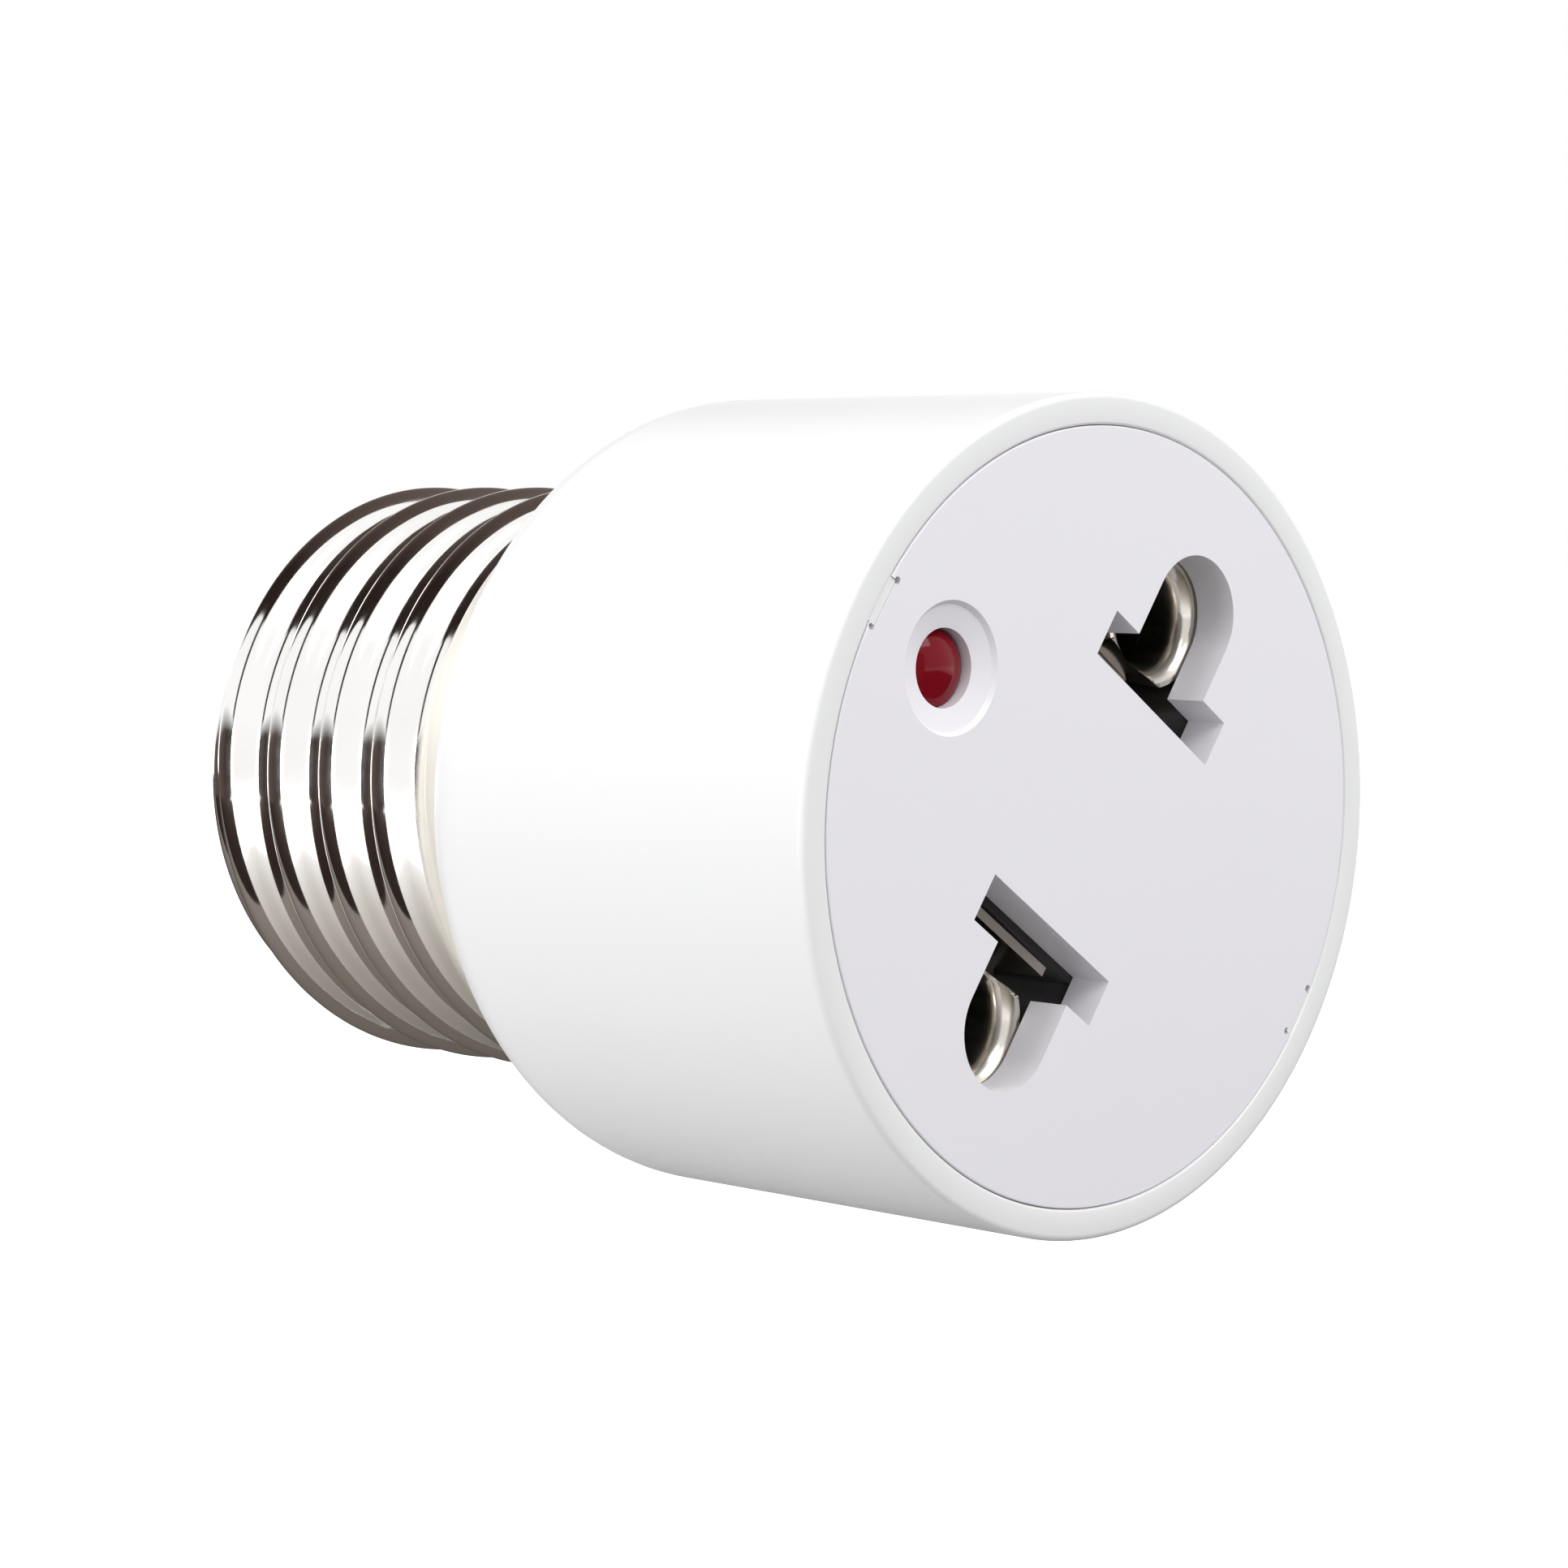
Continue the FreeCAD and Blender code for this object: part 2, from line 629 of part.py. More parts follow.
def shell_section(angle, start_y, end_y):
    """The wall of the shell cut by a half plane: thread, shoulder and lip, out and back."""
    across = math.radians(angle)
    root = number(shell_root)
    depth = number(thread_depth)
    crest = size.shell_diameter / 2
    wall = size.shell_wall
    steps = int(size.shell_steps)

    def place(radius, y):
        return Vector(radius * math.sin(across), y, radius * math.cos(across))

    levels = [start_y + (end_y - start_y) * i / steps for i in range(steps + 1)]
    outer = [(root + depth * thread_height(angle, y), y) for y in levels]
    outer[0] = (crest, start_y)
    outer[-1] = (root, end_y)
    inner = []
    for i, (radius, y) in enumerate(outer):
        before = outer[max(0, i - 1)]
        after = outer[min(steps, i + 1)]
        lean = math.hypot(after[0] - before[0], after[1] - before[1]) / (after[1] - before[1])
        inner.append((radius - wall * lean, y))
    inner[0] = (crest - wall, start_y)
    inner[-1] = (root - wall, end_y)

    centre = root - size.shoulder_round
    lip = number(lip_radius)
    half = math.sqrt(0.5)
    bends = []
    for bend in (size.shoulder_round, size.shoulder_round - wall):
        bends.append(
            [
                place(centre + bend, end_y),
                place(centre + bend * half, end_y + bend * half),
                place(centre, end_y + bend),
                place(lip, end_y + bend),
            ]
        )
    over, under = bends
    outward = [place(*point) for point in outer]
    inward = [place(*point) for point in reversed(inner)]
    edges = [Part.LineSegment(one, two).toShape() for one, two in zip(outward, outward[1:])]
    edges.append(Part.Arc(over[0], over[1], over[2]).toShape())
    edges.append(Part.LineSegment(over[2], over[3]).toShape())
    edges.append(Part.LineSegment(over[3], under[3]).toShape())
    edges.append(Part.LineSegment(under[3], under[2]).toShape())
    edges.append(Part.Arc(under[2], under[1], under[0]).toShape())
    edges += [Part.LineSegment(one, two).toShape() for one, two in zip(inward, inward[1:])]
    edges.append(Part.LineSegment(inward[-1], outward[0]).toShape())
    return Part.Wire(edges)


def make_shell():
    """The rolled sheet shell: a round collar, then a loft through sections that carry the helix."""
    collar_run = size.collar_length - size.collar_margin
    start_y = size.body_length + collar_run
    end_y = number(last_root_y)
    count = int(size.shell_sections)
    sections = [shell_section(360 * i / count, start_y, end_y) for i in range(count)]
    crest = size.shell_diameter / 2
    base = Vector(0, size.body_length, 0)
    collar = Part.makeCylinder(crest, collar_run, base, Vector(0, 1, 0))
    bore = Part.makeCylinder(crest - size.shell_wall, collar_run, base, Vector(0, 1, 0))
    whole = collar.cut(bore).fuse(Part.makeLoft(sections, True, True, True))
    return plain_feature("screw_shell", whole.Solids[0])


def plain_feature(label, solid, extra_turn=0.0):
    feature = doc.addObject("Part::Feature", label)
    feature.Label = label
    feature.Shape = solid
    turn = FreeCAD.Rotation(Vector(0, -1, 0), size.clock_angle + extra_turn)
    feature.Placement = FreeCAD.Placement(Vector(0, 0, 0), turn)
    return feature


def rounded_path(points):
    """Straight runs joined by tangent arcs as large as the two runs allow."""
    edges = []
    here = points[0]
    for before, corner, after in zip(points, points[1:], points[2:]):
        back = (before - corner).normalize()
        on = (after - corner).normalize()
        turn = math.pi - back.getAngle(on)
        reach = size.bend_share * min((before - corner).Length, (after - corner).Length)
        radius = reach / math.tan(turn / 2)
        begin = corner + back * reach
        finish = corner + on * reach
        middle = corner + (back + on).normalize() * (radius / math.cos(turn / 2) - radius)
        edges.append(Part.LineSegment(here, begin).toShape())
        edges.append(Part.Arc(begin, middle, finish).toShape())
        here = finish
    edges.append(Part.LineSegment(here, points[-1]).toShape())
    return Part.Wire(edges)


def pipe(points, radius):
    path = rounded_path(points)
    heading = (points[1] - points[0]).normalize()
    ring = Part.Wire([Part.Circle(points[0], heading, radius).toShape()])
    return path.makePipeShell([ring], True, False)


def make_wire(name, points, extra_turn, far_strip):
    """Bare core over the whole route and insulation that stops short of both ends."""
    core_radius = size.wire_core / 2
    plain_feature(f"{name}_core", pipe(points, core_radius), extra_turn)
    start = points[0] + (points[1] - points[0]).normalize() * size.wire_strip
    finish = points[-1] + (points[-2] - points[-1]).normalize() * far_strip
    covered = [start] + points[1:-1] + [finish]
    outer = pipe(covered, size.wire_insulation / 2)
    return plain_feature(f"{name}_insulation", outer.cut(pipe(points, core_radius)), extra_turn)


def make_wires():
    exit_x = size.leaf_offset + size.contact_thickness / 2
    level = number(wire_y)
    shift = -size.wire_shift
    drop_x = size.wire_drop
    shank_end = number(head_y) - size.contact_shank_length - size.seat_gap
    live = [
        Vector(exit_x, level, shift),
        Vector(drop_x, level, shift),
        Vector(size.wire_drop / 2, level + size.wire_slope, shift),
        Vector(0, level + 2 * size.wire_slope, 0),
        Vector(0, shank_end, 0),
    ]
    make_wire("live_wire", live, 0.0, size.wire_strip)
    collar_bore = size.shell_diameter / 2 - size.shell_wall - 2 * size.seat_gap
    out_y = number(notch_y)
    neutral = [
        Vector(exit_x, level, -shift),
        Vector(drop_x, level, -shift),
        Vector(drop_x, out_y, -shift),
        Vector(collar_bore, out_y, -shift),
    ]
    make_wire("neutral_wire", neutral, 180.0, size.wire_strip)


def make_solder(label, extra_turn, eye_side):
    """A small cone of solder round the wire, on the inner face of the tail."""
    face_x = size.leaf_offset - size.contact_thickness / 2
    foot = Vector(face_x, number(wire_y), eye_side * size.wire_shift)
    inward = Vector(-1, 0, 0)
    cone = Part.makeCone(
        size.solder_diameter / 2, size.wire_core / 2 + size.solder_edge, size.solder_height, foot, inward
    )
    bore = Part.makeCylinder(size.wire_core / 2, size.solder_height, foot, inward)
    return plain_feature(label, cone.cut(bore), extra_turn)


def make_leads():
    """The leads of the lamp and the resistor, and the sleeve over the long one."""
    radius = size.lead_diameter / 2
    base = number(lamp_base_y)
    level = number(resistor_y)
    lamp_z = size.lamp_offset
    lead_x = size.lead_spacing / 2
    tail_x = size.leaf_offset - size.contact_thickness / 2 - size.joint_gap
    meet_z = size.meet_offset
    top_z = size.resistor_height + size.resistor_length / 2
    low_z = size.resistor_height - size.resistor_length / 2
    live = [
        Vector(lead_x, base, lamp_z),
        Vector(lead_x, level, lamp_z),
        Vector(size.resistor_offset - radius - size.joint_gap, level, lamp_z),
    ]
    plain_feature("lamp_lead_live", pipe(live, radius))
    link = [Vector(size.resistor_offset, level, top_z), Vector(size.resistor_offset, level, lamp_z + radius)]
    plain_feature("resistor_lead_lamp", straight(link, radius))
    feed = [
        Vector(size.resistor_offset, level, low_z),
        Vector(size.resistor_offset, level, meet_z),
        Vector(tail_x, level, meet_z),
    ]
    plain_feature("resistor_lead_live", pipe(feed, radius))
    side_x = lead_x + size.lead_step
    back = [
        Vector(-lead_x, base, lamp_z),
        Vector(-lead_x, level, lamp_z),
        Vector(-side_x, level, lamp_z - size.lead_slope),
        Vector(-side_x, level, meet_z),
        Vector(-tail_x, level, meet_z),
    ]
    plain_feature("lamp_lead_neutral", pipe(back, radius))
    bore = radius + size.seat_gap
    foot = Vector(-side_x, level, size.sleeve_start)
    upward = Vector(0, 0, 1)
    over = Part.makeCylinder(bore + size.sleeve_wall, size.sleeve_length, foot, upward)
    under = Part.makeCylinder(bore, size.sleeve_length, foot, upward)
    plain_feature("lamp_lead_sleeve", over.cut(under))


def straight(ends, radius):
    run = ends[1] - ends[0]
    return Part.makeCylinder(radius, run.Length, ends[0], run)


make_housing()
make_cover()
make_carrier()
make_contact("live_contact", "0", -1)
make_contact("neutral_contact", "180", 1)
make_shell()
make_insulator()
make_centre_contact()
make_lamp()
make_resistor()
make_leads()
make_wires()
make_solder("solder_live", 0.0, -1)
make_solder("solder_neutral", 180.0, 1)
doc.recompute()

pieces = [o for o in doc.Objects if o.TypeId in ("PartDesign::Body", "Part::Feature")]
for item in doc.Objects:
    if "Invalid" in item.State or "Error" in item.State:
        raise RuntimeError(f"{item.Name} did not rebuild: {item.State}")
for piece in pieces:
    if piece.Shape.isNull() or not piece.Shape.isValid() or piece.Shape.Volume <= 0:
        raise RuntimeError(f"{piece.Label} has no sound solid")

os.makedirs("parts", exist_ok=True)
for piece in pieces:
    piece.Shape.exportStep(f"parts/{piece.Label}.step")
    print(piece.Label, round(piece.Shape.Volume, 2), piece.Shape.BoundBox)
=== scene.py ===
import bpy
from math import asin, atan2, cos, degrees, floor, pi, radians, sin, sqrt
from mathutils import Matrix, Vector


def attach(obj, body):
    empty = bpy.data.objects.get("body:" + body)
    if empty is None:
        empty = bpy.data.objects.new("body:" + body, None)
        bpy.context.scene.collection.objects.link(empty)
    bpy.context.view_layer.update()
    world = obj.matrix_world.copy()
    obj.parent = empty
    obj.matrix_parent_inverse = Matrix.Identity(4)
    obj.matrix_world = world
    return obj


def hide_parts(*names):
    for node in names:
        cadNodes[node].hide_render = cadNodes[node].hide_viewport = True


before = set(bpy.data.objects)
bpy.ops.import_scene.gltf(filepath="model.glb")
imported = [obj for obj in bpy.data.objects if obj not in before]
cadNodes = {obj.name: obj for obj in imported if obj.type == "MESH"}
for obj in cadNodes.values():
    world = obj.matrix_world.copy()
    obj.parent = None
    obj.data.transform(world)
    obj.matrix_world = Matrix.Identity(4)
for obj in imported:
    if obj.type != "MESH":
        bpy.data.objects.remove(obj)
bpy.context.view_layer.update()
mm = 0.001
tiny = 0.000001  # metres within which two corners count as one
spare = 1.0  # mm that a cutting piece stands out past what it cuts
clockAngle = radians(54.75)  # how far the line of the two openings is turned from level


# helpers that every piece uses

def deselectAll():
    if bpy.context.object and bpy.context.object.mode != "OBJECT":
        bpy.ops.object.mode_set(mode="OBJECT")
    bpy.ops.object.select_all(action="DESELECT")


def pickOnly(piece):
    deselectAll()
    piece.select_set(True)
    bpy.context.view_layer.objects.active = piece


def editAll(piece):
    pickOnly(piece)
    bpy.ops.object.mode_set(mode="EDIT")
    bpy.ops.mesh.select_mode(type="VERT")
    bpy.ops.mesh.select_all(action="SELECT")


def applyPlace(piece):
    pickOnly(piece)
    bpy.ops.object.transform_apply(location=True, rotation=True, scale=True)


def applyModifiers(piece):
    pickOnly(piece)
    for modifier in list(piece.modifiers):
        bpy.ops.object.modifier_apply(modifier=modifier.name)


def toWorld(u, v, y):
    # from mm on the turned face, u along the line of the openings, to metres in the frame
    across = u * cos(clockAngle) - v * sin(clockAngle)
    up = u * sin(clockAngle) + v * cos(clockAngle)
    return Vector((across, y, up)) * mm


def startAt(name, point):
    # one loose vertex, from which an outline is drawn by extruding
    deselectAll()
    bpy.ops.mesh.primitive_plane_add(size=mm, location=point)
    piece = bpy.context.object
    piece.name = piece.data.name = name
    applyPlace(piece)
    editAll(piece)
    bpy.ops.mesh.merge(type="CENTER")
    return piece


def drawThrough(name, points):
    piece = startAt(name, points[0])
    for here, there in zip(points, points[1:]):
        bpy.ops.mesh.extrude_vertices_move(TRANSFORM_OT_translate={"value": there - here})
    return piece


def arcPoints(centre, radius, fromAngle, toAngle, count):
    angles = [radians(fromAngle + (toAngle - fromAngle) * i / count) for i in range(count + 1)]
    return [(centre[0] + radius * cos(a), centre[1] + radius * sin(a)) for a in angles]


def turnedPiece(name, outline, steps, closed=True):
    # outline: (radius, y) pairs in mm, spun about the lamp axis
    points = [Vector((r, y, 0)) * mm for r, y in outline]
    if closed:
        points.append(points[0])
    piece = drawThrough(name, points)
    bpy.ops.mesh.select_all(action="SELECT")
    bpy.ops.mesh.remove_doubles(threshold=tiny)
    bpy.ops.mesh.select_all(action="SELECT")
    bpy.ops.mesh.spin(steps=steps, angle=2 * pi, center=(0, 0, 0), axis=(0, 1, 0))
    bpy.ops.mesh.select_all(action="SELECT")
    bpy.ops.mesh.remove_doubles(threshold=2 * tiny)
    bpy.ops.mesh.select_all(action="SELECT")
    bpy.ops.mesh.normals_make_consistent(inside=False)
    bpy.ops.object.mode_set(mode="OBJECT")
    return piece


def pulledPiece(name, outline, yFront, depth):
    # outline: (u, v) pairs in mm on the turned face, pulled back along the lamp axis
    points = [toWorld(u, v, yFront) for u, v in outline]
    piece = drawThrough(name, points)
    bpy.ops.mesh.select_all(action="SELECT")
    bpy.ops.mesh.edge_face_add()
    bpy.ops.mesh.extrude_region_move(TRANSFORM_OT_translate={"value": (0, depth * mm, 0)})
    bpy.ops.mesh.select_all(action="SELECT")
    bpy.ops.mesh.normals_make_consistent(inside=False)
    bpy.ops.object.mode_set(mode="OBJECT")
    return piece


def combine(piece, tool, way="DIFFERENCE"):
    modifier = piece.modifiers.new(way.lower(), "BOOLEAN")
    modifier.operation = way
    modifier.solver = "EXACT"
    modifier.object = tool
    applyModifiers(piece)
    bpy.data.objects.remove(tool)


def finishPiece(piece, material, node, smoothAngle):
    pickOnly(piece)
    bpy.ops.object.shade_smooth_by_angle(angle=radians(smoothAngle))
    normals = piece.modifiers.new("normals", "WEIGHTED_NORMAL")
    normals.keep_sharp = True
    applyModifiers(piece)
    piece.data.materials.clear()
    piece.data.materials.append(material)
    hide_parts(node)
    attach(piece, "root")


# materials

def newMaterial(name):
    material = bpy.data.materials.new(name)
    material.use_nodes = True
    tree = material.node_tree
    shader = tree.nodes["Principled BSDF"]
    return material, tree, shader


def noiseFrom(tree, scale, detail, roughness=0.5, stretch=(1, 1, 1)):
    place = tree.nodes.new("ShaderNodeTexCoord")
    mapping = tree.nodes.new("ShaderNodeMapping")
    mapping.inputs["Scale"].default_value = stretch
    noise = tree.nodes.new("ShaderNodeTexNoise")
    noise.inputs["Scale"].default_value = scale
    noise.inputs["Detail"].default_value = detail
    noise.inputs["Roughness"].default_value = roughness
    tree.links.new(place.outputs["Object"], mapping.inputs["Vector"])
    tree.links.new(mapping.outputs["Vector"], noise.inputs["Vector"])
    return noise.outputs["Fac"]


def rampTo(tree, source, socket, low, high, start=0.35, end=0.65):
    # low and high are two colours, or two numbers for a socket that takes a number
    ramp = tree.nodes.new("ShaderNodeValToRGB")
    for element, place, value in zip(ramp.color_ramp.elements, (start, end), (low, high)):
        element.position = place
        element.color = (*value, 1) if isinstance(value, tuple) else (value, value, value, 1)
    tree.links.new(source, ramp.inputs["Fac"])
    tree.links.new(ramp.outputs["Color"], socket)


def bumpTo(tree, source, shader, distance, strength):
    bump = tree.nodes.new("ShaderNodeBump")
    bump.inputs["Distance"].default_value = distance
    bump.inputs["Strength"].default_value = strength
    tree.links.new(source, bump.inputs["Height"])
    tree.links.new(bump.outputs["Normal"], shader.inputs["Normal"])


def plasticMaterial(name, low, high, roughLow, roughHigh, grain, grainDepth):
    material, tree, shader = newMaterial(name)
    tone = noiseFrom(tree, scale=60, detail=2)
    rampTo(tree, tone, shader.inputs["Base Color"], low, high, start=0.2, end=0.8)
    gloss = noiseFrom(tree, scale=520, detail=3)
    rampTo(tree, gloss, shader.inputs["Roughness"], roughLow, roughHigh, start=0.2, end=0.8)
    bumpTo(tree, noiseFrom(tree, scale=grain, detail=2), shader, grainDepth * mm, strength=0.35)
    return material


def metalMaterial(name, low, high, roughLow, roughHigh, grain=900, grainDepth=0.002, stretch=(1, 1, 1)):
    material, tree, shader = newMaterial(name)
    shader.inputs["Metallic"].default_value = 1.0
    rampTo(tree, noiseFrom(tree, scale=240, detail=4), shader.inputs["Base Color"], low, high)
    gloss = noiseFrom(tree, scale=650, detail=4, roughness=0.6, stretch=stretch)
    rampTo(tree, gloss, shader.inputs["Roughness"], roughLow, roughHigh)
    bumpTo(tree, noiseFrom(tree, grain, detail=3, stretch=stretch), shader, grainDepth * mm, strength=0.3)
    return material


def satinCollarWithPaintedCream(material, start, end, satin, dull, tone):
    # the plain collar of the shell gets a satin finish, and a cream colour painted on it stands in for the
    # warm reflection of the housing; the rolled thread behind it is polished
    tree = material.node_tree
    shader = tree.nodes["Principled BSDF"]
    place = tree.nodes.new("ShaderNodeTexCoord")
    split = tree.nodes.new("ShaderNodeSeparateXYZ")
    tree.links.new(place.outputs["Object"], split.inputs["Vector"])

    def zone(low, high):
        part = tree.nodes.new("ShaderNodeMapRange")
        part.inputs["From Min"].default_value = start
        part.inputs["From Max"].default_value = end
        part.inputs["To Min"].default_value = low
        part.inputs["To Max"].default_value = high
        tree.links.new(split.outputs["Y"], part.inputs["Value"])
        return part.outputs["Result"]

    both = tree.nodes.new("ShaderNodeMath")
    tree.links.new(zone(satin, 0.0), both.inputs[0])
    tree.links.new(shader.inputs["Roughness"].links[0].from_socket, both.inputs[1])
    tree.links.new(both.outputs["Value"], shader.inputs["Roughness"])
    tree.links.new(zone(dull, 1.0), shader.inputs["Metallic"])
    # painted reflection: the collar's colour is blended towards the cream tone
    blend = tree.nodes.new("ShaderNodeMixRGB")
    blend.inputs["Color1"].default_value = (*tone, 1)
    tree.links.new(zone(0.0, 1.0), blend.inputs["Fac"])
    tree.links.new(shader.inputs["Base Color"].links[0].from_socket, blend.inputs["Color2"])
    tree.links.new(blend.outputs["Color"], shader.inputs["Base Color"])


# each finish: two tones, two roughnesses, then the size and the depth in mm of its grain
housingPlastic = plasticMaterial(
    "housingPlastic", (0.778, 0.781, 0.786), (0.782, 0.785, 0.790), 0.30, 0.33, 1400, 0.0008)
coverPlastic = plasticMaterial(
    "coverPlastic", (0.780, 0.766, 0.802), (0.785, 0.771, 0.807), 0.36, 0.40, 2200, 0.002)
carrierPlastic = plasticMaterial(
    "carrierPlastic", (0.016, 0.015, 0.015), (0.024, 0.022, 0.021), 0.45, 0.6, 1800, 0.006)
insulatorPlastic = plasticMaterial(
    "insulatorPlastic", (0.02, 0.02, 0.021), (0.028, 0.028, 0.029), 0.16, 0.24, 1500, 0.004)
insulationBrown = plasticMaterial(
    "insulationBrown", (0.22, 0.09, 0.04), (0.26, 0.11, 0.05), 0.4, 0.5, 1500, 0.005)
insulationBlue = plasticMaterial(
    "insulationBlue", (0.04, 0.10, 0.34), (0.05, 0.12, 0.38), 0.4, 0.5, 1500, 0.005)
sleevePlastic = plasticMaterial(
    "sleevePlastic", (0.70, 0.70, 0.66), (0.76, 0.76, 0.71), 0.35, 0.45, 1500, 0.004)
resistorLacquer = plasticMaterial(
    "resistorLacquer", (0.52, 0.38, 0.22), (0.58, 0.43, 0.26), 0.3, 0.4, 1200, 0.006)
contactMetal = metalMaterial(
    "contactMetal", (0.62, 0.585, 0.53), (0.70, 0.66, 0.60), 0.14, 0.24, 1200, 0.004, (1, 0.15, 1))
tipMetal = metalMaterial("tipMetal", (0.60, 0.58, 0.54), (0.70, 0.68, 0.64), 0.18, 0.28)
leadMetal = metalMaterial("leadMetal", (0.70, 0.70, 0.69), (0.80, 0.80, 0.79), 0.22, 0.32)
wireCopper = metalMaterial("wireCopper", (0.75, 0.34, 0.20), (0.84, 0.42, 0.26), 0.2, 0.3)
solderTin = metalMaterial("solderTin", (0.62, 0.63, 0.65), (0.74, 0.75, 0.77), 0.18, 0.30, 700, 0.01)
shellNickel = metalMaterial("shellNickel", (0.93, 0.915, 0.895), (0.96, 0.95, 0.935), 0.07, 0.12)

# the satin finish and the painted cream reflection, whose colour is tone, end between start and end, in
# metres along the lamp axis
collarFinishWithPaintedCream = {"start": 0.0278, "end": 0.0281, "satin": 0.35, "dull": 0.45, "tone": (0.96, 0.92, 0.84)}
satinCollarWithPaintedCream(shellNickel, **collarFinishWithPaintedCream)


def redLens(name, low, high, roughLow, roughHigh, grainDepth, shine):
    material, tree, shader = newMaterial(name)
    rampTo(tree, noiseFrom(tree, scale=300, detail=3), shader.inputs["Base Color"], low, high)
    rampTo(tree, noiseFrom(tree, scale=900, detail=2), shader.inputs["Roughness"], roughLow, roughHigh)
    bumpTo(tree, noiseFrom(tree, scale=1500, detail=2), shader, grainDepth * mm, strength=0.2)
    shader.inputs["Specular IOR Level"].default_value = shine
    return material


lampRed = redLens("lampRed", (0.17, 0.002, 0.008), (0.22, 0.004, 0.012), 0.06, 0.12, 0.002, shine=0.18)

# the inner pieces keep the meshes of the CAD and only get their finish
nodeMaterials = {
    "series_resistor": resistorLacquer, "lamp_lead_live": leadMetal, "lamp_lead_neutral": leadMetal,
    "resistor_lead_lamp": leadMetal, "resistor_lead_live": leadMetal, "lamp_lead_sleeve": sleevePlastic,
    "live_wire_core": wireCopper, "neutral_wire_core": wireCopper, "live_wire_insulation": insulationBrown,
    "neutral_wire_insulation": insulationBlue, "solder_live": solderTin, "solder_neutral": solderTin,
}
for nodeName, nodeMaterial in nodeMaterials.items():
    cadNodes[nodeName].data.materials.clear()
    cadNodes[nodeName].data.materials.append(nodeMaterial)
print("materials ready")


# the white housing: turned body with its mouth, cavity and neck

housing = {
    "radius": 16.8, "length": 23.3, "mouthRadius": 15.52, "cavityRadius": 14.62, "ledgeDepth": 1.9,
    "frontRound": 0.28, "mouthRound": 0.12, "rearRound": 3.5, "floorDepth": 20.9, "neckRadius": 11.56,
    "neckBore": 9.96, "neckEnd": 41.36, "neckFoot": 0.3, "sideRings": (2.0, 6.0, 10.0, 14.0, 17.5),
    "keyWidth": 2.0, "keyHeight": 0.36, "keyRoot": 0.4, "keyFront": 0.06, "steps": 256,
}


def makeHousing(h):
    mouth, front, rear = h["mouthRound"], h["frontRound"], h["rearRound"]
    outline = [(h["mouthRadius"], h["ledgeDepth"])]
    outline += arcPoints((h["mouthRadius"] + mouth, mouth), mouth, 180, 270, 4)
    outline += arcPoints((h["radius"] - front, front), front, 270, 360, 6)
    outline += [(h["radius"], y) for y in h["sideRings"]]
    outline += arcPoints((h["radius"] - rear, h["length"] - rear), rear, 0, 90, 16)
    outline.append((h["neckRadius"] + h["neckFoot"], h["length"]))
    outline += [(h["neckRadius"], h["length"] + h["neckFoot"]), (h["neckRadius"], h["neckEnd"])]
    outline += [(h["neckBore"], h["neckEnd"]), (h["neckBore"], h["floorDepth"])]
    outline += [(h["cavityRadius"], h["floorDepth"]), (h["cavityRadius"], h["ledgeDepth"])]
    piece = turnedPiece("housingShell", outline, h["steps"])
    for side in (1, -1):  # the two keys that stop the cover from turning
        low = side * (h["mouthRadius"] - h["keyHeight"])
        high = side * (h["mouthRadius"] + h["keyRoot"])
        half = h["keyWidth"] / 2
        key = [(-half, low), (half, low), (half, high), (-half, high)]
        combine(piece, pulledPiece("key", key, h["keyFront"], h["ledgeDepth"]), "UNION")
    finishPiece(piece, housingPlastic, "housing", smoothAngle=35)


makeHousing(housing)
print("housing done")


# the flush cover with its two keyholes, the lamp hole in its dish and the two notches

cover = {
    "radius": 15.49, "thickness": 1.9, "steps": 256, "edgeRound": 0.08,
    "slotInner": 5.1, "slotOuter": 7.15, "slotHalf": 4.1, "holeHalf": 2.45, "holeCentre": 9.65,
    "notchHalf": 1.015, "notchRadius": 15.145,
    "dots": ((1.05, 15.12, 0.15), (-1.12, 15.28, 0.14)), "dotDepth": 0.7,
    "lampOffset": 10.75, "lampHole": 1.54,
    "dishRadius": 2.6, "dishLean": 0.16, "dishWall": 0.19, "dishDepth": 0.42, "dishSteps": 96,
}


def keyholeOutline(c, side):
    inner, outer, slot, hole = c["slotInner"], c["slotOuter"], c["slotHalf"], c["holeHalf"]
    points = [(inner, -slot), (outer, -slot), (outer, -hole)]
    points += arcPoints((c["holeCentre"], 0), hole, -90, 90, 32)
    points += [(outer, hole), (outer, slot), (inner, slot)]
    return [(side * u, side * v) for u, v in points]


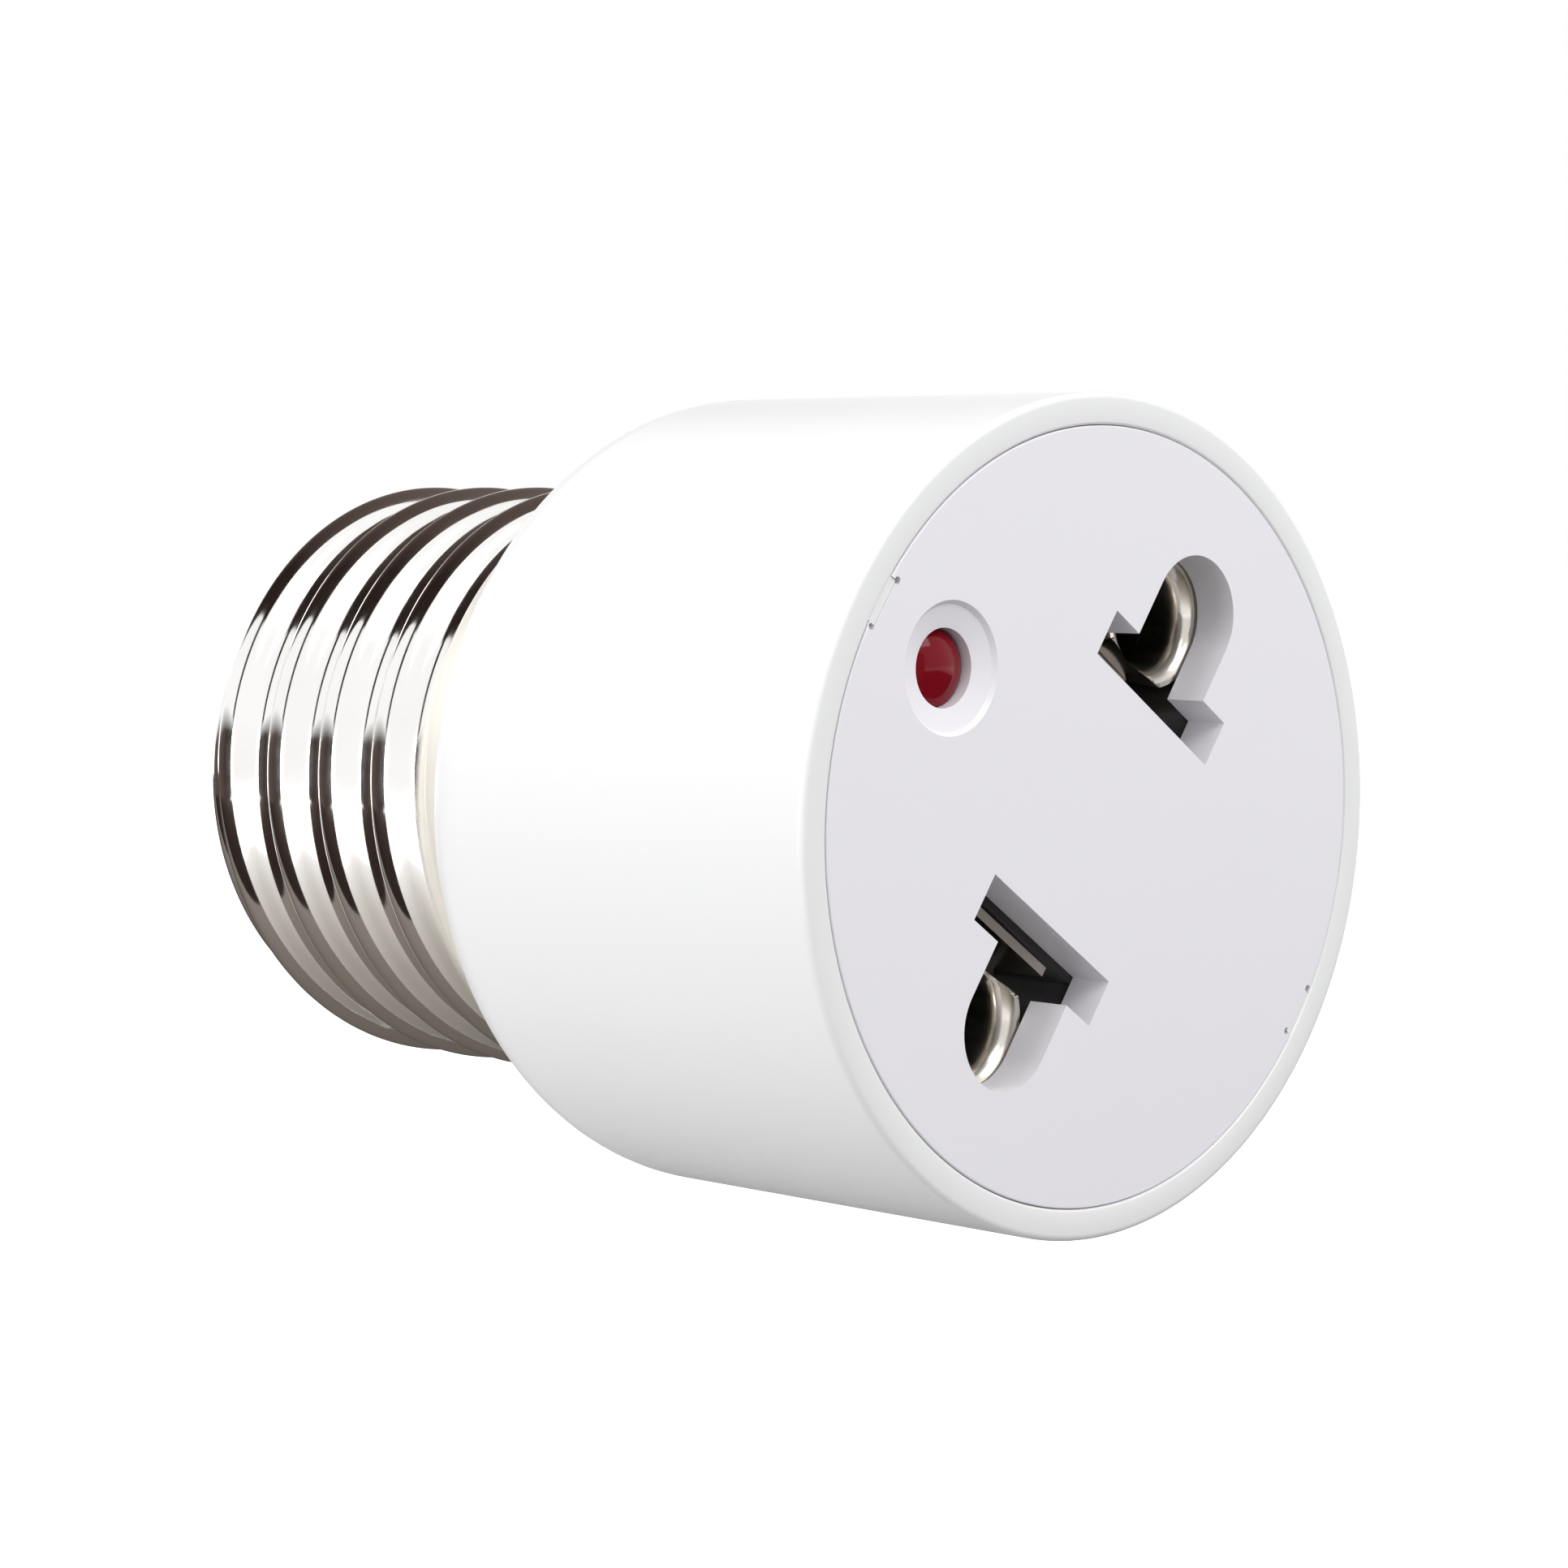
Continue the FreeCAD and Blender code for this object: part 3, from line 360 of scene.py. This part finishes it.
def makeCover(c):
    edge, outer = c["edgeRound"], c["radius"] - c["edgeRound"]
    outline = [(0, 0)] + arcPoints((outer, edge), edge, 270, 360, 3)
    outline += arcPoints((outer, c["thickness"] - edge), edge, 0, 90, 3) + [(0, c["thickness"])]
    piece = turnedPiece("coverDisc", outline, c["steps"], closed=False)
    through = c["thickness"] + 2 * spare
    for side in (1, -1):
        combine(piece, pulledPiece("opening", keyholeOutline(c, side), -spare, through))
        low, high = side * c["notchRadius"], side * (c["radius"] + spare)
        half = c["notchHalf"]
        notch = [(-half, low), (half, low), (half, high), (-half, high)]
        combine(piece, pulledPiece("notch", notch, -spare, through))
        for u, v, radius in c["dots"]:
            dot = arcPoints((side * u, side * v), radius, 0, 345, 23)
            combine(piece, pulledPiece("dot", dot, -spare, spare + c["dotDepth"]))
    # the dish round the lamp: a short leaning wall, a floor that falls to the hole, and the hole
    rear = c["thickness"] + spare
    dish = turnedPiece("dish", [
        (0, -spare), (c["dishRadius"], -spare), (c["dishRadius"], 0),
        (c["dishRadius"] - c["dishLean"], c["dishWall"]),
        (c["lampHole"], c["dishDepth"]), (c["lampHole"], rear), (0, rear),
    ], c["dishSteps"], closed=False)
    dish.location = toWorld(0, c["lampOffset"], 0)
    applyPlace(dish)
    combine(piece, dish)
    finishPiece(piece, coverPlastic, "front_cover", smoothAngle=30)


makeCover(cover)
print("cover done")


# the two contacts: leaf and sleeve of the CAD strip with a new front, where the sleeve opens like a bell

contact = {
    "front": 2.02, "joint": 4.5, "overlap": 0.1, "cutReach": 20.0, "pinOffset": 9.5,
    "leafInner": 5.5, "leafOuter": 5.9, "leafLow": -3.7, "leafHigh": 2.7, "leafFront": 2.12,
    "bell": ((2.66, 2.02), (2.52, 2.06), (2.38, 2.14), (2.24, 2.27),
             (2.11, 2.46), (2.0, 2.75), (1.93, 3.2), (1.9, 4.2)),
    "bellWall": 0.2, "bellEnd": 3.3, "sleeveOuter": 2.6, "steps": 96,
    "cutInner": 6.05, "cutOuter": 7.3, "cutHalf": 3.2, "cutFront": 1.52, "cutDepth": 1.9,
}


def copyOf(node, name):
    # a copy of the piece from the CAD, with its doubled corners merged
    deselectAll()
    piece = cadNodes[node].copy()
    piece.data = cadNodes[node].data.copy()
    piece.name = piece.data.name = name
    bpy.context.collection.objects.link(piece)
    editAll(piece)
    bpy.ops.mesh.remove_doubles(threshold=tiny)
    bpy.ops.object.mode_set(mode="OBJECT")
    return piece


def blockOutline(side, inner, outer, low, high):
    return [(side * u, side * v) for u, v in ((inner, low), (outer, low), (outer, high), (inner, high))]


def makeContact(c, name, node, side):
    piece = copyOf(node, name)
    reach, rear = c["cutReach"], c["joint"] + c["overlap"]
    front = blockOutline(1, -reach, reach, -reach, reach)
    combine(piece, pulledPiece("cut", front, -spare, c["joint"] + spare))
    leaf = blockOutline(side, c["leafInner"], c["leafOuter"], c["leafLow"], c["leafHigh"])
    combine(piece, pulledPiece("leaf", leaf, c["leafFront"], rear - c["leafFront"]), "UNION")
    # the bell from its rear end to its rim, then back along the outside of the sleeve
    bell = c["bell"]
    outline = [(bell[-1][0], rear)] + list(reversed(bell)) + [(bell[0][0] + c["bellWall"], c["front"])]
    outline += [(c["sleeveOuter"], c["bellEnd"]), (c["sleeveOuter"], rear)]
    sleeve = turnedPiece("sleeve", outline, c["steps"])
    sleeve.location = toWorld(side * c["pinOffset"], 0, 0)
    applyPlace(sleeve)
    gap = blockOutline(side, c["cutInner"], c["cutOuter"], -c["cutHalf"], c["cutHalf"])
    combine(sleeve, pulledPiece("gap", gap, c["cutFront"], c["cutDepth"]))
    combine(piece, sleeve, "UNION")
    finishPiece(piece, contactMetal, node, smoothAngle=30)


# the black carrier, which gives way to the two bells

carrier = {
    "roomRadius": 3.3, "roomFront": 1.0, "roomStep": 2.0, "throatRadius": 2.75, "throatDepth": 3.4,
    "steps": 96,
}


def makeCarrier(c):
    piece = copyOf("contact_carrier", "contactCarrier")
    for side in (1, -1):
        room = turnedPiece("room", [
            (0, c["roomFront"]), (c["roomRadius"], c["roomFront"]), (c["roomRadius"], c["roomStep"]),
            (c["throatRadius"], c["throatDepth"]), (0, c["throatDepth"]),
        ], c["steps"], closed=False)
        room.location = toWorld(side * contact["pinOffset"], 0, 0)
        applyPlace(room)
        combine(piece, room)
    finishPiece(piece, carrierPlastic, "contact_carrier", smoothAngle=30)


makeContact(contact, "liveContact", "live_contact", 1)
makeContact(contact, "neutralContact", "neutral_contact", -1)
makeCarrier(carrier)
print("contacts done")


# the threaded shell: a plain collar, a right-hand round thread that runs out at both ends, shoulder and lip

shell = {
    "collarRadius": 13.1, "rootRadius": 12.0125, "wall": 0.35, "pitch": 3.62, "threadRound": 1.025,
    "yStart": 23.3, "yRoot": 42.11, "shoulder": 1.2, "lipRadius": 9.6,
    "grooveStart": 26.43, "grooveAngle": 150.0, "grooveFade": 90.0, "crestEnd": 1305.0, "crestFade": 90.0,
    "endFall": 0.75, "endFallLength": 0.7, "steps": 288, "rings": 136,
}


def smoothStep(value):
    value = max(0.0, min(1.0, value))
    return value * value * (3 - 2 * value)


def threadHeight(s, angle, y):
    # 1 on the crest and 0 in the groove, at an angle in degrees from the top and y in mm
    pitch, ball = s["pitch"], s["threadRound"]
    turn = ((angle - s["grooveAngle"]) % 360.0) / 360.0
    rise = (y - s["grooveStart"]) / pitch - turn
    groove = max(0, round(rise))
    away = abs(rise - groove) * pitch
    depth = 2 * (ball - sqrt(ball ** 2 - (pitch / 4) ** 2))
    if away < pitch / 4:
        height = (ball - sqrt(ball ** 2 - away ** 2)) / depth
    elif away < pitch / 2:
        height = 1 - (ball - sqrt(ball ** 2 - (pitch / 2 - away) ** 2)) / depth
    else:
        height = 1.0
    height = 1 - smoothStep((groove + turn) * 360 / s["grooveFade"]) * (1 - height)
    crestTurn = (max(0, floor(rise)) + turn) * 360
    height *= 1 - smoothStep((crestTurn - s["crestEnd"]) / s["crestFade"])
    return height * (1 - smoothStep((y - s["yRoot"] + s["endFall"]) / s["endFallLength"]))


def makeShell(s):
    deselectAll()
    length = s["yRoot"] - s["yStart"]
    bpy.ops.mesh.primitive_cylinder_add(
        vertices=s["steps"], radius=s["collarRadius"] * mm, depth=length * mm, end_fill_type="NOTHING",
        location=(0, (s["yStart"] + length / 2) * mm, 0), rotation=(radians(90), 0, 0),
    )
    piece = bpy.context.object
    piece.name = piece.data.name = "threadedShell"
    applyPlace(piece)
    # rings across the long edges, then each vertex moved to its place on the thread
    editAll(piece)
    bpy.ops.mesh.select_mode(type="EDGE")
    bpy.ops.mesh.select_all(action="DESELECT")
    bpy.ops.object.mode_set(mode="OBJECT")
    for edge in piece.data.edges:
        one, two = (piece.data.vertices[i].co.y for i in edge.vertices)
        edge.select = abs(one - two) > length * mm / 2
    bpy.ops.object.mode_set(mode="EDIT")
    bpy.ops.mesh.subdivide_edgering(number_cuts=s["rings"], interpolation="LINEAR")
    bpy.ops.object.mode_set(mode="OBJECT")
    depth = s["collarRadius"] - s["rootRadius"]
    for vertex in piece.data.vertices:
        angle = degrees(atan2(vertex.co.x, vertex.co.z)) % 360
        radius = (s["rootRadius"] + depth * threadHeight(s, angle, vertex.co.y / mm)) * mm
        scale = radius / sqrt(vertex.co.x ** 2 + vertex.co.z ** 2)
        vertex.co.x *= scale
        vertex.co.z *= scale
    # the rolled shoulder and the lip, pulled from the last ring
    bpy.ops.object.mode_set(mode="EDIT")
    bpy.ops.mesh.select_mode(type="VERT")
    bpy.ops.mesh.select_all(action="DESELECT")
    bpy.ops.object.mode_set(mode="OBJECT")
    for vertex in piece.data.vertices:
        vertex.select = vertex.co.y > s["yRoot"] * mm - tiny
    bpy.ops.object.mode_set(mode="EDIT")
    ringRadius, ringY = s["rootRadius"], s["yRoot"]
    rim = arcPoints((s["rootRadius"] - s["shoulder"], s["yRoot"]), s["shoulder"], 0, 90, 10)[1:]
    rim.append((s["lipRadius"], s["yRoot"] + s["shoulder"]))
    for nextRadius, nextY in rim:
        bpy.ops.mesh.extrude_region_move(TRANSFORM_OT_translate={"value": (0, (nextY - ringY) * mm, 0)})
        scale = nextRadius / ringRadius
        bpy.ops.transform.resize(value=(scale, 1, scale), center_override=(0, nextY * mm, 0))
        ringRadius, ringY = nextRadius, nextY
    bpy.ops.mesh.select_all(action="SELECT")
    bpy.ops.mesh.normals_make_consistent(inside=False)
    bpy.ops.object.mode_set(mode="OBJECT")
    wall = piece.modifiers.new("wall", "SOLIDIFY")
    wall.thickness = s["wall"] * mm
    wall.offset = -1
    applyModifiers(piece)
    finishPiece(piece, shellNickel, "screw_shell", smoothAngle=50)


makeShell(shell)
print("shell done")


# the black end piece and the centre contact

tipEnd = {
    "bore": 1.25, "flangeRadius": 10.8, "flangeRear": 41.41, "flangeFront": 42.91, "coneRadius": 9.51,
    "coneStart": 43.91, "coneEnd": 46.61, "tipRadius": 5.6, "headRadius": 4.7, "headHeight": 1.3,
    "shankRadius": 1.2, "shankStart": 40.61, "shankEdge": 0.15, "flangeEdge": 0.1,
    "swell": 0.30, "swellOut": 0.55, "swellBack": 0.5, "noseDrop": 0.25, "noseEdge": 0.18, "noseRound": 0.2,
    "headInset": 0.06, "headLift": 0.08, "headTurnIn": 1.5, "coneSteps": 160, "headSteps": 128,
}


def makeCone(t):
    flange, edge, cone, tip = t["flangeRadius"], t["flangeEdge"], t["coneRadius"], t["tipRadius"]
    outline = [(t["bore"], t["flangeRear"]), (flange, t["flangeRear"])]
    outline += [(flange, t["flangeFront"] - edge), (flange - edge, t["flangeFront"])]
    outline += [(cone, t["flangeFront"]), (cone, t["coneStart"])]
    # the glassy cone swells a little between its two edges
    rise = t["coneEnd"] - t["noseDrop"] - t["coneStart"]
    for i in range(1, 12):
        part = i / 12
        swell = t["swell"] * sin(pi * part)
        radius = cone + (tip - cone) * part + swell * t["swellOut"]
        outline.append((radius, t["coneStart"] + rise * part + swell * t["swellBack"]))
    outline += [(tip, t["coneEnd"] - t["noseEdge"]), (tip - t["noseRound"], t["coneEnd"])]
    outline.append((t["bore"], t["coneEnd"]))
    piece = turnedPiece("tipInsulator", outline, t["coneSteps"])
    finishPiece(piece, insulatorPlastic, "tip_insulator", smoothAngle=30)


def makeCentreContact(t):
    head, shank, edge = t["headRadius"], t["shankRadius"], t["shankEdge"]
    dome = (head ** 2 + t["headHeight"] ** 2) / (2 * t["headHeight"])
    spread = degrees(asin(head / dome)) - t["headTurnIn"]
    outline = [(0, t["shankStart"]), (shank - edge, t["shankStart"]), (shank, t["shankStart"] + edge)]
    outline += [(shank, t["coneEnd"]), (head - t["headInset"], t["coneEnd"])]
    outline.append((head, t["coneEnd"] + t["headLift"]))
    outline += arcPoints((0, t["coneEnd"] + t["headHeight"] - dome), dome, 90 - spread, 90, 14)
    piece = turnedPiece("centreContact", outline, t["headSteps"], closed=False)
    finishPiece(piece, tipMetal, "centre_contact", smoothAngle=35)


makeCone(tipEnd)
makeCentreContact(tipEnd)
print("tip done")


# the red indicator lamp in its dish

lamp = {
    "radius": 1.475, "front": 0.42, "lensHeight": 0.46,
    "flangeRadius": 1.9, "flangeFront": 4.4, "flangeEdge": 0.1,
    "base": 5.3, "offset": cover["lampOffset"], "steps": 72,
}


def makeLamp(b):
    radius, flange, edge = b["radius"], b["flangeRadius"], b["flangeEdge"]
    lens = (radius ** 2 + b["lensHeight"] ** 2) / (2 * b["lensHeight"])
    spread = degrees(asin(radius / lens))
    outline = arcPoints((0, b["front"] + lens), lens, 270, 270 + spread, 14)
    outline += [(radius, b["flangeFront"]), (flange - edge, b["flangeFront"])]
    outline += [(flange, b["flangeFront"] + edge), (flange, b["base"]), (0, b["base"])]
    piece = turnedPiece("indicatorLamp", outline, b["steps"], closed=False)
    piece.location = toWorld(0, b["offset"], 0)
    applyPlace(piece)
    finishPiece(piece, lampRed, "indicator_lamp", smoothAngle=40)


makeLamp(lamp)
print("lamp done")


# the stage: pale floor, soft lights, the cards that the bare metal mirrors, and the camera

# floorSize, near and far are in metres, all other lengths of the stage in mm
stageSet = {
    "floorLevel": -60.0, "floorSize": 6.0, "floorGlow": 0.66, "floorLow": 0.95, "floorHigh": 0.97,
    "floorRough": 0.9, "worldStrength": 1.0,
    "cameraPlace": (-119.157, -103.392, 12.825), "cameraTilt": 90 - 4.169, "cameraTurn": -44.463,
    "lens": 91.59, "sensor": 36, "near": 0.001, "far": 50,
}

# places and sizes of lights and cards are in metres, power in watts, turns in degrees about x, y and z
lights = {
    "keyLeft": {"place": (-0.60, 0.10, 0.02), "target": (0, 0.015, 0), "size": (0.4, 0.3), "power": 1.95},
    "overhead": {"place": (0.0, 0.10, 0.7), "target": (0, 0.02, 0), "size": (0.6, 0.5), "power": 0.7},
    "frontTop": {"place": (0.06, -0.46, 0.45), "target": (0, 0, 0), "size": (0.4, 0.3), "power": 1.8},
}
shadeSpread = 1.02  # how much lighter the light spots of a shade card are
shades = {
    "shadeRear": {"place": (0, 0.29, -0.0575), "size": (1.2, 0.6), "shade": 0.60},
    "shadeFront": {"place": (0, -0.31, -0.0575), "size": (1.2, 0.6), "shade": 0.14},
}

# glow runs from one side of a card to the other, fade is where its top turns into the light, and
# strength, where it is given, makes the card shine more
darkGlow, brownGlow, warmGlow = (0.022, 0.014, 0.012), (0.075, 0.053, 0.045), (0.13, 0.10, 0.09)
greyGlow, creamGlow, fadedGlow = (0.28, 0.28, 0.28), (1.0, 0.97, 0.91), (0.95, 0.95, 0.95)
cards = {
    "cardBackLeft": {
        "place": (-0.28, 0.30, -0.038), "size": (0.80, 0.30), "turn": (90, 9.7, 46), "fade": (0.86, 1.0),
        "glow": ((0.0, darkGlow), (0.28, darkGlow), (0.50, brownGlow), (1.0, warmGlow)),
    },
    "cardLowLeft": {
        "place": (-0.2425, 0.47, -0.0555), "size": (0.355, 0.90), "turn": (0, 0, 0),
        "glow": ((0.0, brownGlow), (1.0, darkGlow)),
    },
    "cardLow": {
        "place": (0.145, 0.47, -0.055), "size": (0.42, 0.90), "turn": (0, 0, 0),
        "glow": ((0.0, (0.25, 0.22, 0.20)), (0.12, (0.16, 0.14, 0.12)), (0.40, (0.045, 0.037, 0.033)),
                 (1.0, (0.07, 0.06, 0.052))),
    },
    "cardLowFront": {
        "place": (0.12, -0.27, -0.0545), "size": (0.47, 0.58), "turn": (0, 0, 0),
        "glow": ((0.0, (1.0, 0.99, 0.97)), (0.11, (0.62, 0.59, 0.55)), (0.19, (0.36, 0.33, 0.30)),
                 (0.30, (0.12, 0.105, 0.095)), (1.0, (0.08, 0.07, 0.06))),
    },
    "cardOverhead": {
        "place": (0.29, 0.545, 0.35), "size": (0.95, 1.25), "turn": (0, 0, -9),
        "glow": ((0.0, darkGlow), (0.16, darkGlow), (0.34, brownGlow), (0.6, warmGlow),
                 (1.0, (0.22, 0.18, 0.17))),
    },
    "cardPost": {
        "place": (-0.39, 0.085, 0.262), "size": (0.34, 0.08), "turn": (0, -42, 0),
        "glow": ((0.0, brownGlow), (1.0, darkGlow)),
    },
    "cardFront": {
        "place": (-0.05, -0.37, 0.0), "size": (0.17, 0.30), "turn": (90, 0, 5),
        "glow": ((0.0, greyGlow), (1.0, greyGlow)),
    },
    "cardSpark": {
        "place": (-0.12, -0.12, 0.27), "size": (0.16, 0.16), "turn": (24, -24, 0), "strength": 3.0,
        "glow": ((0.0, creamGlow), (1.0, creamGlow)),
    },
}


def softBox(name, place, target, size, power):
    deselectAll()
    bpy.ops.object.light_add(type="AREA", location=place)
    light = bpy.context.object
    light.name = name
    light.data.shape = "RECTANGLE"
    light.data.size, light.data.size_y = size
    light.data.energy = power
    light.rotation_euler = (Vector(target) - Vector(place)).to_track_quat("-Z", "Y").to_euler()


def addCard(name, place, size, turn):
    deselectAll()
    bpy.ops.mesh.primitive_plane_add(size=1, location=place, rotation=[radians(t) for t in turn])
    card = bpy.context.object
    card.name = name
    card.scale = (*size, 1)
    material, tree, shader = newMaterial(name)
    shader.inputs["Specular IOR Level"].default_value = 0.0
    card.data.materials.append(material)
    card.visible_camera = card.visible_shadow = card.visible_transmission = False
    return card, tree, shader


def glowRamp(tree, axis, stops):
    # colour along one side of a card, whose own coordinates run from -0.5 to 0.5
    position = tree.nodes.new("ShaderNodeTexCoord")
    split = tree.nodes.new("ShaderNodeSeparateXYZ")
    shift = tree.nodes.new("ShaderNodeMath")
    shift.inputs[1].default_value = 0.5
    ramp = tree.nodes.new("ShaderNodeValToRGB")
    while len(ramp.color_ramp.elements) < len(stops):
        ramp.color_ramp.elements.new(0.5)
    for element, (place, colour) in zip(ramp.color_ramp.elements, stops):
        element.position = place
        element.color = (*colour, 1)
    tree.links.new(position.outputs["Object"], split.inputs["Vector"])
    tree.links.new(split.outputs[axis], shift.inputs[0])
    tree.links.new(shift.outputs["Value"], ramp.inputs["Fac"])
    return ramp.outputs["Color"]


def mirrorCard(name, place, size, turn, glow, fade=None, strength=1.0):
    # seen in reflections only
    card, tree, shader = addCard(name, place, size, turn)
    card.visible_diffuse = False
    colour = glowRamp(tree, "X", glow)
    if fade:
        blend = tree.nodes.new("ShaderNodeMixRGB")
        blend.inputs["Color2"].default_value = (*fadedGlow, 1)
        grow = glowRamp(tree, "Y", ((fade[0], (0, 0, 0)), (fade[1], (1, 1, 1))))
        tree.links.new(grow, blend.inputs["Fac"])
        tree.links.new(colour, blend.inputs["Color1"])
        colour = blend.outputs["Color"]
    tree.links.new(colour, shader.inputs["Emission Color"])
    shader.inputs["Emission Strength"].default_value = strength
    shader.inputs["Base Color"].default_value = (0, 0, 0, 1)


def shadeCard(name, place, size, shade):
    # takes light away from below and is seen by diffuse light only
    card, tree, shader = addCard(name, place, size, (0, 0, 0))
    card.visible_glossy = False
    low, high = (shade,) * 3, (shade * shadeSpread,) * 3
    rampTo(tree, noiseFrom(tree, scale=3, detail=2), shader.inputs["Base Color"], low, high)


def makeStage(s):
    world = bpy.data.worlds.new("studio")
    bpy.context.scene.world = world
    world.use_nodes = True
    world.node_tree.nodes["Background"].inputs["Color"].default_value = (1, 1, 1, 1)
    world.node_tree.nodes["Background"].inputs["Strength"].default_value = s["worldStrength"]
    deselectAll()
    bpy.ops.mesh.primitive_plane_add(size=s["floorSize"], location=(0, 0, s["floorLevel"] * mm))
    ground = bpy.context.object
    ground.name = "floor"
    groundMaterial, tree, shader = newMaterial("paleFloor")
    low, high = (s["floorLow"],) * 3, (s["floorHigh"],) * 3
    rampTo(tree, noiseFrom(tree, scale=3, detail=2), shader.inputs["Base Color"], low, high)
    shader.inputs["Roughness"].default_value = s["floorRough"]
    shader.inputs["Emission Color"].default_value = (1, 1, 1, 1)
    shader.inputs["Emission Strength"].default_value = s["floorGlow"]
    ground.data.materials.append(groundMaterial)
    for name, light in lights.items():
        softBox(name, **light)
    for name, shade in shades.items():
        shadeCard(name, **shade)
    for name, card in cards.items():
        mirrorCard(name, **card)
    deselectAll()
    bpy.ops.object.camera_add(
        location=[c * mm for c in s["cameraPlace"]],
        rotation=(radians(s["cameraTilt"]), 0, radians(s["cameraTurn"])),
    )
    camera = bpy.context.object
    camera.name = "camera"
    camera.data.lens = s["lens"]
    camera.data.sensor_width = s["sensor"]
    camera.data.clip_start = s["near"]
    camera.data.clip_end = s["far"]
    bpy.context.scene.camera = camera
    bpy.context.scene.view_settings.view_transform = "Standard"


makeStage(stageSet)
print("stage done")
